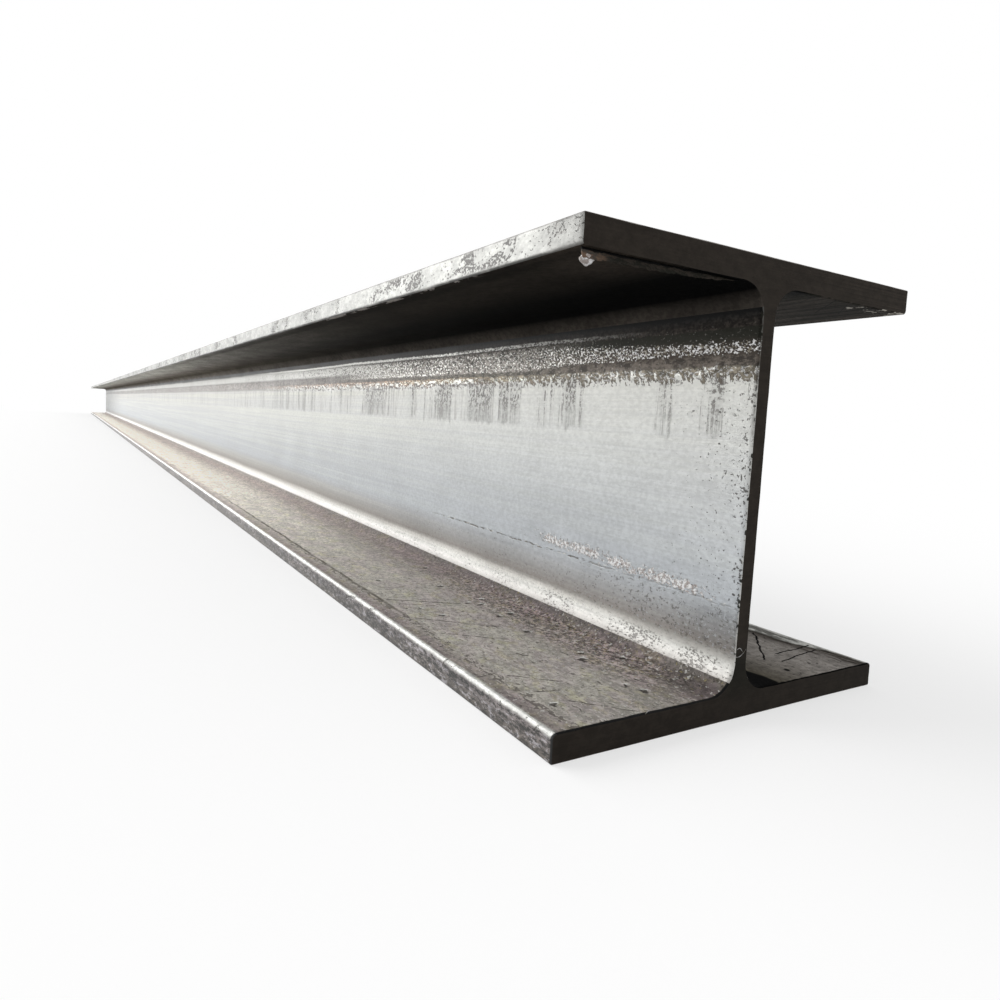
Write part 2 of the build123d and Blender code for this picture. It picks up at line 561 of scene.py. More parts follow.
    # Streaks: strands of different darkness, torn into specks towards the band.
    sided = skin.join(skin.plus(along, skin.times(skin.right, 3.0)), 0.0, 0.0)
    runs = skin.rise(skin.grain((0.022, 1.0, 1.0), 3, 0.7, at=sided, shift=71.0), 0.46, 0.62)
    strength = skin.times(runs, skin.rise(along, 0.3, 1.2, 0.95, 0.25))
    strands = skin.grain((0.0017, 1.0, 0.050), 2, 0.7, at=skin.flat, shift=3.0)
    wide_strands = skin.grain((0.0060, 1.0, 0.060), 4, 0.75, at=skin.flat, shift=67.0)
    strands = skin.mix(skin.rise(along, 0.22, 0.50), strands, wide_strands)
    torn = skin.grain((0.0018, 1.0, 0.0020), 3, 0.7, at=skin.flat, shift=5.0)
    ending = skin.plus(place, skin.swing((0.006, 1.0, 1.0), 0.0030, at=skin.flat))
    fading = skin.times(skin.band(ending, 0.1240, border, 0.0030), skin.rise(strength, 0.0, 0.35))
    fading = skin.times(fading, skin.rise(place, 0.1240, 0.1430, 0.50, 1.0))
    wet = skin.rise(skin.plus(strands, skin.times(strength, 0.19)), 0.57, 0.68)
    low_torn = skin.contrast(torn, 0.42, 0.52, 0.35, 1.0)
    high_torn = skin.contrast(torn, 0.46, 0.54, 0.0, 1.0)
    tearing = skin.mix(skin.rise(place, 0.1300, 0.1400), low_torn, high_torn)
    spots = skin.times(skin.rise(torn, 0.51, 0.55), skin.rise(strength, 0.4, 0.8), skin.rise(place, 0.128, 0.138))
    ink = skin.mix(skin.rise(along, 0.25, 1.2), DIRT_AND_SHADE, GREY_DIRT)
    reaching = skin.times(skin.band(ending, 0.1235, 0.1720, 0.0040), skin.rise(along, 0.5, 0.9))
    soft_end = skin.most(skin.band(ending, 0.1235, border, 0.0040), reaching)
    smudge = skin.times(strength, soft_end, skin.rise(along, 0.3, 0.8, 0.16, 0.36))
    colour = skin.shade(colour, skin.off(smudge))
    hair = skin.times(skin.rise(wide_strands, 0.50, 0.64), skin.band(ending, 0.1240, border, 0.0030))
    hair = skin.times(hair, skin.rise(along, 0.12, 0.30), skin.rise(along, 0.9, 1.5, 1.0, 0.0))
    colour = skin.mix(skin.times(hair, 0.42), colour, GREY_DIRT)
    distinct = skin.rise(along, 0.5, 1.1, 0.85, 0.40)
    colour = skin.mix(skin.times(skin.most(skin.times(wet, tearing), spots), fading, distinct), colour, ink)

    # Loose flakes in clumps along the lower web, dark crumbs among them, and a broken crack under them.
    crack = skin.plus(0.0500, skin.swing((0.030, 1.0, 1.0), 0.0007, at=skin.flat))
    over = skin.math("SUBTRACT", height, crack)
    clump_line = skin.plus(skin.times(along, 0.036), 0.0014)
    clump = skin.math("ABSOLUTE", skin.math("SUBTRACT", over, clump_line))
    patchy = skin.rise(skin.grain((0.030, 1.0, 0.020), 2, at=skin.flat, shift=9.0), 0.38, 0.50)
    flake_share = skin.times(skin.rise(clump, 0.0010, 0.0050, 0.66, 0.0), skin.rise(patchy, 0.0, 1.0, 0.45, 1.0))
    flake_share = skin.times(flake_share, skin.rise(along, 0.145, 0.165, 1.0, 0.0), skin.rise(along, 0.010, 0.022))
    flakes = skin.specks((0.0022, 1.0, 0.0013), flake_share, 3.0, at=skin.flat, shift=2.0)
    flakes = skin.times(flakes, skin.rise(over, -0.0006, 0.0002))
    flake_tone = skin.mix(skin.rise(skin.grain(0.0019, 2, 0.7, shift=23.0), 0.42, 0.56), BROWN_SCALE, WHITE_STEEL)
    crumb_share = skin.math("MULTIPLY_ADD", flake_share, 0.35, 0.05)
    crumbs = skin.specks((0.0018, 1.0, 0.0013), crumb_share, at=skin.flat, shift=13.0)
    crumbs = skin.times(crumbs, skin.band(height, 0.049, 0.060, 0.001), skin.rise(along, 0.16, 0.20, 1.0, 0.0))
    colour = skin.mix(skin.times(crumbs, 0.75), colour, BROWN_DIRT)
    colour = skin.mix(skin.times(flakes, 0.9), colour, flake_tone)
    dash = skin.specks((0.0052, 1.0, 0.0012), 0.46, 3.0, at=skin.flat, shift=4.0)
    dash = skin.times(dash, skin.band(over, -0.0009, 0.0003, 0.0006), skin.rise(along, 0.27, 0.32, 1.0, 0.0))
    dash = skin.times(dash, skin.rise(along, 0.06, 0.14, 0.35, 0.85))
    colour = skin.mix(dash, colour, BROWN_DIRT)
    chip = skin.specks((0.0060, 1.0, 0.0013), 0.22, at=skin.flat, shift=24.0)
    chip = skin.times(chip, skin.band(over, -0.0002, 0.0010, 0.0006), skin.rise(along, 0.27, 0.32, 1.0, 0.0))
    colour = skin.mix(skin.times(chip, 0.7), colour, BRIGHT_STEEL_AND_HIGHLIGHT)

    # Grit on the lower web, dark and pale, in drifts by the cut, and dark pocks on the root's painted highlight.
    by_cut = skin.rise(along, 0.04, 0.16, 1.0, 0.0)
    drift = skin.rise(skin.grain((0.020, 0.012, 0.009), 2, shift=16.0), 0.35, 0.55)
    on_low_web = skin.times(skin.band(height, 0.0285, 0.0490, 0.004), skin.rise(along, 0.3, 0.5, 1.0, 0.0))
    drifted = skin.times(by_cut, drift)
    pale_share = skin.math("MULTIPLY_ADD", drifted, 0.18, 0.05)
    pale_grit = skin.specks((0.0018, 0.0013, 0.0013), pale_share, shift=1.0)
    colour = skin.mix(skin.times(pale_grit, on_low_web, 0.55), colour, BLUE_SCALE)
    dark_share = skin.math("MULTIPLY_ADD", drifted, 0.24, 0.05)
    dark_grit = skin.specks((0.0019, 0.0013, 0.0013), dark_share, shift=15.0)
    colour = skin.mix(skin.times(dark_grit, on_low_web, 0.60), colour, DIRT_AND_SHADE)
    pock_share = skin.rise(skin.grain(0.030, 2, shift=6.0), 0.42, 0.60)
    pock_share = skin.times(pock_share, skin.rise(along, 0.06, 0.22, 0.34, 0.16))
    pock = skin.specks((0.0019, 0.0011, 0.0011), skin.plus(pock_share, 0.05), shift=8.0)
    pock = skin.times(pock, skin.band(height, 0.0164, 0.0250, 0.003), skin.rise(along, 0.35, 0.8, 1.0, 0.1))
    colour = skin.mix(skin.times(pock, 0.70), colour, DIRT_AND_SHADE)
    dimple = skin.specks((0.0017, 0.0010, 0.0010), skin.rise(along, 0.05, 0.60, 0.15, 0.0), shift=55.0)
    dimple = skin.times(dimple, skin.band(height, 0.0164, 0.0290, 0.003))
    colour = skin.mix(skin.times(dimple, 0.45), colour, GREY_DIRT)

    # Spatter from the saw, close to the cut, and a torn light arris on the cut itself: bare steel, with a painted
    # highlight that only the left side carries.
    drops = skin.rise(skin.grain((0.4, 1.0, 0.030), 2, at=skin.flat), 0.36, 0.60)
    spatter_share = skin.times(skin.rise(along, 0.001, 0.010, 0.34, 0.05), drops)
    spatter = skin.specks((0.0016, 1.0, 0.0013), spatter_share, at=skin.flat, shift=11.0)
    spatter = skin.times(spatter, skin.band(height, 0.050, 0.146, 0.01), skin.rise(along, 0.025, 0.060, 1.0, 0.0))
    colour = skin.mix(skin.times(spatter, 0.85), colour, DARK_DIRT_AND_SHADE)
    ragged = skin.plus(along, skin.swing((1.0, 1.0, 0.005), 0.0005, at=skin.flat))
    arris = skin.times(skin.rise(ragged, 0.0001, 0.0005, 1.0, 0.0), skin.left)
    arris = skin.times(arris, skin.rise(height, 0.135, 0.155, 0.75, 0.10))
    colour = skin.mix(arris, colour, PALE_SCALE)
    notch_share = skin.times(skin.rise(along, 0.0004, 0.0016, 0.32, 0.0), skin.rise(height, 0.065, 0.11, 1.0, 0.55))
    notch = skin.specks((0.0024, 1.0, 0.0030), notch_share, at=skin.flat, shift=31.0)
    colour = skin.mix(skin.times(notch, skin.left), colour, SOOT_AND_SHADE)

    # Darker towards the far end.
    colour = skin.shade(colour, skin.rise(along, 3.9, 6.0, 1.0, 0.27))
    rough = skin.contrast(clouds, 0.3, 0.7, 0.34, 0.42)
    metal = skin.rise(jagged, border - 0.0004, border + 0.0004)
    metal = skin.times(metal, skin.rise(place, border - 0.0034, border - 0.0028))
    metal = skin.math("MULTIPLY_ADD", metal, 0.65, 0.25)
    metal = skin.times(metal, skin.off(skin.times(bits, skin.off(skin.rise(along, 0.15, 0.40)), 0.75)))
    relief = skin.plus(skin.plus(skin.times(fine, 0.6), flakes), skin.times(skin.most(dash, spatter, pock), -1.0))
    return skin.finish(colour, roughness=rough, metallic=metal, normal=skin.bump(relief, 0.0002))


# What covers the lower flange's upper face, by the distance from the web's middle. The bright last stop, on the toe's
# corner, is a painted highlight.
LEDGE_LAYERS = [
    (0.006, GREY_DIRT), (0.014, BROWN_SCALE), (0.050, PALE_BROWN), (0.085, PALE_BROWN), (0.097, BROWN_SCALE),
    (0.0985, BRIGHT_STEEL_AND_HIGHLIGHT),
]
# Scratches across the lower flange, each from and to a place and half its width. A place is how far it lies from
# the near cut and where it lies across.
LEFT_SCRATCHES = [
    ((0.202, -0.084), (0.177, -0.046), 0.0008),
    ((0.190, -0.081), (0.178, -0.062), 0.0005),
    ((0.158, -0.084), (0.126, -0.049), 0.0007),
    ((0.127, -0.083), (0.105, -0.056), 0.0007),
    ((0.233, -0.078), (0.228, -0.062), 0.0005),
    ((0.059, -0.083), (0.043, -0.065), 0.0005),
    ((0.038, -0.083), (0.035, -0.072), 0.0005),
    ((0.024, -0.075), (0.004, -0.056), 0.0004),
    ((0.083, -0.063), (0.078, -0.060), 0.0007),
    ((0.063, -0.097), (0.064, -0.088), 0.0005),
]
RIGHT_SCRATCHES = [
    ((0.061, 0.084), (0.026, 0.050), 0.0006),
    ((0.032, 0.094), (0.030, 0.064), 0.0006),
    ((0.026, 0.091), (0.021, 0.057), 0.0006),
]
# Gouges in the lower flange, each with its place and its radius.
GOUGES = [
    ((0.146, -0.0280), 0.0030), ((0.144, -0.0370), 0.0023), ((0.112, -0.0390), 0.0030), ((0.170, -0.0350), 0.0024),
    ((0.177, -0.0400), 0.0021), ((0.222, -0.0375), 0.0024), ((0.278, -0.0225), 0.0025), ((0.182, -0.0280), 0.0019),
    ((0.063, -0.0380), 0.0027), ((0.057, -0.0180), 0.0023), ((0.071, -0.0330), 0.0019), ((0.018, -0.0380), 0.0021),
    ((0.027, -0.0410), 0.0019), ((0.023, -0.0830), 0.0021), ((0.175, -0.0740), 0.0016), ((0.251, -0.0705), 0.0017),
    ((0.158, -0.0680), 0.0019), ((0.011, 0.0480), 0.0021), ((0.013, 0.0680), 0.0010),
]


def scratches(skin, wavy, lines):
    """1 on each of the given lines and 0 off them. A point's distance from a line is its distance from the nearest
    place on it, found as the share of the way along, kept between 0 and 1."""
    mask = 0.0
    for (x1, y1), (x2, y2), half in lines:
        length = math.dist((x1, y1), (x2, y2))
        toward = ((x2 - x1) / length, (y2 - y1) / length, 0)
        offset = skin.add("ShaderNodeVectorMath", operation="SUBTRACT")
        skin.put(offset.inputs[0], wavy)
        offset.inputs[1].default_value = (x1, y1, 0)
        way = skin.add("ShaderNodeVectorMath", operation="DOT_PRODUCT")
        skin.put(way.inputs[0], offset.outputs["Vector"])
        way.inputs[1].default_value = toward
        held = skin.math("MINIMUM", skin.math("MAXIMUM", way.outputs["Value"], 0.0), length)
        nearest = skin.add("ShaderNodeVectorMath", operation="SCALE")
        nearest.inputs[0].default_value = toward
        skin.put(nearest.inputs["Scale"], held)
        away = skin.apart(offset.outputs["Vector"], nearest.outputs["Vector"])
        mask = skin.math("MAXIMUM", mask, skin.rise(away, half * 0.4, half * 1.2, 1.0, 0.0))
    return mask


def gouges(skin, wavy, places):
    """1 inside each of the given rounds and 0 outside."""
    mask = 0.0
    for centre, radius in places:
        inside = skin.rise(skin.apart(wavy, (*centre, 0)), radius * 0.4, radius * 1.1, 1.0, 0.0)
        mask = skin.math("MAXIMUM", mask, inside)
    return mask


def ledge_finish(size, marks):
    """The lower flange's upper face and the root's foot, left of the web: brown-grey scale with granular dirt by the
    root, olive and plum tints, gouges and the scratches of loads dragged over it. Painted sheen makes the face paler
    away from the cut, and painted highlights lie up the root by the cut, on the toe's corner and on the rims of pits
    and gouges, whose hollows are dark partly with painted shade."""
    skin = SkinFinish("ledge_scale", size, marks, roughness=0.6, metallic=0.0, specular=0.12)
    along, across = skin.along, skin.across
    off_root = skin.rise(across, 0.02, 0.03)
    place = skin.plus(across, skin.times(skin.swing((0.04, 1.0, 1.0), 0.0008, at=skin.level), off_root))
    # Painted sheen makes the face paler away from the cut.
    colour = skin.shade(skin.ramp(place, LEDGE_LAYERS), skin.rise(along, 0.06, 1.0, 0.62, 1.75))

    # Tints and grain.
    by_cut = skin.rise(along, 0.25, 0.9, 1.0, 0.35)
    plum = skin.rise(skin.grain((0.024, 0.014, 0.014), 3, 0.6, shift=4.0), 0.44, 0.60)
    olive = skin.rise(skin.grain((0.016, 0.009, 0.009), 3, 0.7, shift=6.0), 0.52, 0.64)
    colour = skin.mix(skin.times(plum, by_cut, 0.7), colour, skin.tint(colour, (1.01, 0.95, 1.03)))
    colour = skin.mix(skin.times(olive, by_cut, 0.6), colour, skin.tint(colour, (1.03, 1.04, 0.80)))
    colour = skin.shade(colour, skin.rise(along, 0.010, 0.050, 0.85, 1.0))
    foot = skin.times(skin.rise(across, 0.017, 0.026, 1.0, 0.0), skin.rise(along, 0.018, 0.045, 0.38, 0.0))
    colour = skin.shade(colour, skin.off(foot))
    # Up the root by the cut, a painted highlight.
    up_root = skin.times(skin.rise(across, 0.0064, 0.0105, 0.9, 0.0), skin.rise(along, 0.025, 0.080, 1.0, 0.0))
    colour = skin.shade(colour, skin.plus(1.0, up_root))
    fine = skin.grain((0.0034, 0.0026, 0.0026), 4, 0.8)
    coarse = skin.grain((0.018, 0.009, 0.009), 4, 0.7, shift=2.0)
    grain = skin.times(skin.contrast(fine, 0.41, 0.59, 0.76, 1.24), skin.contrast(coarse, 0.38, 0.62, 0.88, 1.12))

    # Granular dirt by the root.
    by_root = skin.times(skin.rise(across, 0.024, 0.046, 1.0, 0.0), skin.rise(along, 0.12, 0.32, 1.0, 0.3))
    by_root = skin.times(by_root, skin.rise(across, 0.0080, 0.0130, 0.25, 1.0))
    by_root = skin.times(by_root, skin.rise(along, 0.008, 0.050, 0.25, 1.0))
    gritty = skin.grain((0.0027, 0.0022, 0.0022), 3, 0.72, shift=12.0)
    speckled = skin.times(by_root, skin.contrast(gritty, 0.41, 0.59, -0.60, 0.62))
    colour = skin.shade(colour, skin.times(grain, skin.plus(1.0, speckled)))
    near = skin.rise(along, 0.16, 0.42, 1.0, 0.0)
    colour = skin.mix(skin.times(by_root, near), colour, skin.tint(colour, (1.0, 0.955, 0.965)))
    crystal_share = skin.plus(skin.times(by_root, 0.13), 0.09)
    crystal = skin.specks((0.0021, 0.0017, 1.0), crystal_share, 2.0, at=skin.level, shift=41.0)
    colour = skin.mix(skin.times(crystal, near, 0.55), colour, PALE_SCALE)
    soot_and_shadow = skin.specks((0.0023, 0.0017, 1.0), crystal_share, 2.0, at=skin.level, shift=43.0)
    colour = skin.mix(skin.times(soot_and_shadow, near, 0.60), colour, DARK_DIRT_AND_SHADE)
    amber = skin.specks((0.0024, 0.0018, 1.0), skin.plus(skin.times(by_root, 0.14), 0.07), at=skin.level, shift=65.0)
    colour = skin.mix(skin.times(amber, near, 0.50), colour, AMBER_DIRT)

    # Pits: a few anywhere, and a chain of them beside the toe, each with a light rim under it, a painted highlight.
    ragged = skin.plus(across, skin.swing((0.03, 1, 1), 0.0012, at=skin.level, shift=5.0))
    chain = skin.band(ragged, 0.0866, 0.0912, 0.0015)
    pit_share = skin.times(skin.most(skin.times(chain, 0.38), skin.times(by_root, 0.12), 0.09), by_cut)
    pit = skin.specks((0.0042, 0.0024, 1.0), pit_share, at=skin.level, shift=2.0)
    beside = skin.join(skin.plus(along, -0.0007), skin.plus(skin.y, -0.0008), 0.0)
    rim = skin.times(skin.specks((0.0042, 0.0024, 1.0), pit_share, at=beside, shift=2.0), skin.off(pit))
    pit_tone = skin.mix(by_cut, DULL_SCALE, DIRT_AND_SHADE)
    colour = skin.mix(skin.times(rim, by_cut, 0.35), colour, PALE_BROWN)
    colour = skin.mix(skin.times(pit, 0.65), colour, pit_tone)
    groove = skin.band(ragged, 0.0862, 0.0882, 0.0010)
    groove = skin.times(groove, skin.rise(along, 0.12, 0.20), skin.rise(along, 0.55, 0.80, 1.0, 0.0))
    colour = skin.mix(skin.times(groove, skin.contrast(coarse, 0.40, 0.54, 0.35, 0.9)), colour, BROWN_DIRT)

    sideways = skin.swing(0.006, 0.0006, shift=3.0)
    wavy = skin.join(skin.plus(along, skin.swing(0.008, 0.0006)), skin.plus(skin.y, sideways), 0.0)
    broken = skin.contrast(skin.grain(0.0030, 2, 0.7, shift=9.0), 0.38, 0.50, 0.25, 1.0)
    marks_left = skin.times(scratches(skin, wavy, LEFT_SCRATCHES), broken, 0.95)
    torn_x = skin.plus(skin.split(wavy)[0], skin.swing(0.0026, 0.0021, 3, shift=45.0))
    torn_y = skin.plus(skin.split(wavy)[1], skin.swing(0.0022, 0.0018, 3, shift=47.0))
    # Gouges: dark inside, partly painted shade in the hollow, with a painted highlight on a lip to one side.
    hole = gouges(skin, skin.join(torn_x, torn_y, 0.0), GOUGES)
    past = skin.join(skin.plus(torn_x, -0.0013), skin.plus(torn_y, -0.0015), 0.0)
    lip = skin.times(gouges(skin, past, GOUGES), skin.off(hole))
    colour = skin.mix(marks_left, colour, DIRT_AND_SHADE)
    colour = skin.mix(skin.times(lip, 0.85), colour, BRIGHT_STEEL_AND_HIGHLIGHT)
    colour = skin.mix(skin.times(hole, 0.90), colour, DARK_DIRT_AND_SHADE)
    ragged_cut = skin.plus(along, skin.swing(0.004, 0.0003, 3, shift=49.0))
    colour = skin.mix(skin.rise(ragged_cut, 0.0010, 0.0016, 1.0, 0.0), colour, BLACK)

    colour = skin.shade(colour, skin.rise(along, 5.0, 6.0, 1.0, 0.85))
    rough = skin.contrast(coarse, 0.3, 0.7, 0.5, 0.7)
    relief = skin.plus(skin.times(fine, 0.5), skin.times(skin.most(pit, marks_left), -1.2))
    relief = skin.plus(relief, skin.times(by_root, gritty, 0.9))
    dented = skin.bump(skin.times(hole, -1.0), 0.0012)
    return skin.finish(colour, roughness=rough, normal=skin.bump(relief, 0.0003, dented))


# What covers the same face right of the web, by the near cut: painted shadow, black, beside the web, and dirt by the
# toe.
RIGHT_LAYERS = [
    (0.006, BLACK), (0.0285, BLACK), (0.0295, BROWN_DIRT), (0.066, DULL_SCALE), (0.085, DULL_SCALE), (0.096, DIRT_AND_SHADE),
    (0.0985, PALE_SCALE),
]


def right_ledge_finish(size, marks):
    """The lower flange's upper face right of the web: painted shadow in a black wedge by the web, cracked grey scale
    and a smear, with painted sheen away from the cut.
    """
    skin = SkinFinish("shadowed_right_ledge", size, marks, roughness=0.9, metallic=0.0, specular=0.02)
    along, across = skin.along, skin.across
    # The painted shadow narrows a little away from the cut, with an uneven edge, and gives way to the plain face.
    wedge = skin.times(skin.rise(along, 0.010, 0.050), 0.010)
    uneven = skin.swing((0.012, 0.012, 1.0), 0.0009, at=skin.level)
    soot_and_shadow = skin.plus(skin.plus(across, wedge), skin.times(uneven, skin.rise(across, 0.016, 0.026)))
    # The plain face grows paler away from the cut: painted sheen.
    plain = skin.shade(skin.ramp(across, LEDGE_LAYERS), skin.rise(along, 0.06, 1.0, 0.62, 1.75))
    colour = skin.mix(skin.rise(along, 0.10, 0.45), skin.ramp(soot_and_shadow, RIGHT_LAYERS), plain)
    fine = skin.grain((0.0040, 0.0030, 0.0030), 4, 0.78)
    coarse = skin.grain((0.016, 0.010, 0.010), 4, 0.7, shift=2.0)
    grain = skin.times(skin.contrast(fine, 0.38, 0.62, 0.80, 1.20), skin.contrast(coarse, 0.38, 0.62, 0.85, 1.15))
    colour = skin.shade(colour, grain)
    smear = skin.rise(skin.grain((0.020, 0.006, 1.0), 3, 0.6, at=skin.level, shift=3.0), 0.48, 0.56)
    smear = skin.times(smear, skin.band(across, 0.084, 0.0965, 0.004), skin.rise(along, 0.10, 0.16, 1.0, 0.3))
    colour = skin.mix(skin.times(smear, 0.7), colour, DARK_DIRT_AND_SHADE)
    flecks = skin.specks((0.0030, 0.0024, 1.0), skin.rise(along, 0.05, 0.20, 0.14, 0.05), at=skin.level, shift=5.0)
    colour = skin.mix(skin.times(flecks, skin.rise(across, 0.030, 0.040), 0.6), colour, SOOT_AND_SHADE)
    sideways = skin.swing(0.006, 0.0008, shift=3.0)
    wavy = skin.join(skin.plus(along, skin.swing(0.008, 0.0008)), skin.plus(skin.y, sideways), 0.0)
    crack = scratches(skin, wavy, RIGHT_SCRATCHES)
    hole = gouges(skin, wavy, GOUGES)
    colour = skin.mix(skin.most(crack, hole), colour, BLACK)
    ragged_cut = skin.plus(along, skin.swing(0.004, 0.0003, 3, shift=49.0))
    colour = skin.mix(skin.rise(ragged_cut, 0.0005, 0.0011, 1.0, 0.0), colour, BLACK)
    relief = skin.plus(skin.times(fine, 0.5), skin.times(skin.most(crack, hole), -1.5))
    return skin.finish(colour, normal=skin.bump(relief, 0.0003))


# What covers the lower toe, by height. The bright stop at its upper corner is partly scraped steel and partly a
# painted highlight.
LOW_TOE_LAYERS = [
    (0.0, DARK_DIRT_AND_SHADE), (0.0015, BROWN_DIRT), (0.0095, GREY_DIRT), (0.0112, BRIGHT_STEEL_AND_HIGHLIGHT), (0.0122, PALE_SCALE),
]
# Chips across the low toe's bright corner: from the near cut, up the toe, and half the width.
CORNER_CHIPS = [
    ((0.0085, 0.0135), (0.0110, 0.0095), 0.0006),
    ((0.0890, 0.0120), (0.0905, 0.0085), 0.0009),
    ((0.1840, 0.0120), (0.1900, 0.0090), 0.0009),
    ((0.2150, 0.0110), (0.2300, 0.0080), 0.0009),
]


def low_toe_finish(size, marks):
    """The lower flange's toe, bright along its upper corner, partly scraped and partly a painted highlight, and
    mottled below it, with painted sheen away from the cut.
    """
    skin = SkinFinish("low_toe_scale", size, marks, roughness=0.36, metallic=0.2)
    along = skin.along
    fuzz = skin.swing((0.010, 0.008, 0.004), 0.0007, detail=4)
    colour = skin.ramp(skin.plus(skin.z, fuzz), LOW_TOE_LAYERS)
    # Paler away from the cut: painted sheen.
    colour = skin.shade(colour, skin.rise(along, 0.08, 0.8, 0.9, 1.3))
    blotch = skin.grain((0.0085, 0.01, 0.0030), 5, 0.8, shift=3.0)
    fine = skin.grain((0.0034, 0.003, 0.0024), 3, 0.75, shift=1.0)
    body = skin.rise(skin.plus(skin.z, fuzz), 0.0090, 0.0104, 1.0, 0.0)
    upper = skin.band(skin.plus(skin.z, fuzz), 0.0056, 0.0100, 0.0020)
    strength = skin.times(skin.math("MAXIMUM", body, 0.14), skin.rise(along, 0.20, 0.80, 1.0, 0.55))
    dark_share = skin.times(skin.plus(skin.times(upper, 0.3), 0.65), strength)
    colour = skin.mix(skin.times(dark_share, skin.rise(blotch, 0.52, 0.56)), colour, SOOT_AND_SHADE)
    colour = skin.mix(skin.times(strength, skin.rise(blotch, 0.41, 0.46, 1.0, 0.0), 0.6), colour, SCALE)
    nick = skin.specks((0.0034, 1.0, 0.0014), skin.times(strength, 0.30), 2.0, shift=51.0)
    colour = skin.mix(skin.times(nick, 0.8), colour, SOOT_AND_SHADE)
    colour = skin.shade(colour, skin.contrast(fine, 0.38, 0.62, 0.80, 1.20))
    patch = skin.grain((0.045, 0.01, 0.0070), 3, 0.65, shift=69.0)
    patched = skin.shade(skin.tint(colour, (1.0, 0.96, 1.03)), skin.contrast(patch, 0.38, 0.60, 0.66, 1.26))
    colour = skin.mix(body, colour, patched)
    sideways = skin.swing(0.006, 0.0005, shift=3.0)
    wavy = skin.join(skin.plus(along, skin.swing(0.008, 0.0008)), skin.plus(skin.z, sideways), 0.0)
    chip = skin.times(scratches(skin, wavy, CORNER_CHIPS), skin.contrast(fine, 0.40, 0.52, 0.3, 1.0))
    colour = skin.mix(skin.times(chip, 0.7), colour, DIRT_AND_SHADE)
    colour = skin.shade(colour, skin.rise(along, 1.8, 3.2, 1.0, 0.86))
    colour = skin.shade(colour, skin.rise(along, 3.2, 6.0, 1.0, 0.60))
    ragged_cut = skin.plus(along, skin.swing(0.004, 0.0003, 3, shift=49.0))
    colour = skin.mix(skin.rise(ragged_cut, 0.0009, 0.0015, 1.0, 0.0), colour, BLACK)
    relief = skin.plus(skin.plus(blotch, skin.times(fine, 0.6)), skin.times(chip, -1.5))
    return skin.finish(colour, normal=skin.bump(relief, 0.00034))


# What covers the high toe, by height.
HIGH_TOE_LAYERS = [
    (0.188, SOOT_AND_SHADE), (0.1885, DIRT_AND_SHADE), (0.190, PALE_SCALE), (0.1988, PALE_SCALE), (0.2, DIRT_AND_SHADE),
]


def high_toe_finish(size, marks):
    """The upper flange's toe: pale scraped scale with dark specks, and a dark lower corner."""
    skin = SkinFinish("high_toe_scale", size, marks, roughness=0.5, metallic=0.15)
    along = skin.along
    place = skin.plus(skin.z, skin.swing((0.016, 0.01, 0.01), 0.0005, detail=3))
    colour = skin.ramp(place, HIGH_TOE_LAYERS)
    colour = skin.shade(colour, skin.rise(along, 0.1, 0.4, 1.0, 0.72))
    colour = skin.shade(colour, skin.rise(along, 0.004, 0.040, 0.62, 1.0))
    clouds = skin.grain((0.016, 0.010, 0.006), 4, 0.7, shift=2.0)
    fine = skin.grain((0.0040, 0.003, 0.003), 3, 0.7, shift=1.0)
    tone = skin.times(skin.contrast(clouds, 0.38, 0.62, 0.84, 1.12), skin.contrast(fine, 0.38, 0.62, 0.90, 1.10))
    colour = skin.shade(colour, tone)
    patchy = skin.contrast(skin.grain((0.012, 0.01, 0.006), 2, shift=12.0), 0.38, 0.58, 0.25, 1.15)
    lengthwise = skin.join(along, 0.0, 0.0)
    runs = skin.rise(skin.grain((0.05, 1.0, 1.0), 2, at=lengthwise, shift=73.0), 0.42, 0.60, 0.0, 0.6)
    share = skin.math("MAXIMUM", skin.times(runs, patchy), 0.05)
    body = skin.band(skin.z, 0.1900, 0.1990, 0.0025)
    smudge = skin.times(skin.specks((0.0040, 0.004, 0.0022), skin.times(share, 0.70), 4.0, shift=5.0), body)
    colour = skin.mix(skin.times(smudge, 0.30), colour, GREY_DIRT)
    speck = skin.times(skin.specks((0.0019, 0.002, 0.0012), skin.times(share, 0.80), 2.0, shift=4.0), body)
    colour = skin.mix(skin.times(speck, 0.85), colour, DARK_DIRT_AND_SHADE)
    blotted = skin.times(skin.specks((0.0036, 0.002, 0.0022), skin.times(share, 0.42), 3.0, shift=53.0), body)
    colour = skin.mix(skin.times(blotted, 0.75), colour, DIRT_AND_SHADE)
    under = skin.rise(skin.grain((0.030, 0.01, 0.01), 4, shift=8.0), 0.44, 0.56)
    under = skin.times(under, skin.rise(skin.z, 0.1890, 0.1900, 1.0, 0.0))
    colour = skin.mix(skin.times(under, 0.85), colour, SOOT_AND_SHADE)
    colour = skin.shade(colour, skin.rise(along, 4.0, 6.0, 1.0, 0.7))
    relief = skin.plus(fine, skin.times(speck, -1.5))
    return skin.finish(colour, normal=skin.bump(relief, 0.00022))


# What covers the upper flange's under face, by the distance from the web's middle: by the cut, painted shade, black
# over most of it, and far from it, paler scale under painted light.
DARK_SOFFIT = [(0.0045, DIRT_AND_SHADE), (0.010, BLACK), (0.042, BLACK), (0.075, DARK_DIRT_AND_SHADE), (0.098, DARK_DIRT_AND_SHADE)]
PALE_SOFFIT = [
    (0.0045, DULL_SCALE), (0.010, BROWN_DIRT), (0.042, DULL_SCALE), (0.075, PALE_SCALE), (0.098, PALE_SCALE),
]
# Dark strokes across the under face right of the web, each from and to a place and half its width.
SOFFIT_STROKES = [
    ((0.001, 0.045), (0.028, 0.068), 0.0005),
    ((0.004, 0.058), (0.022, 0.078), 0.0003),
    ((0.001, 0.030), (0.016, 0.040), 0.0003),
]


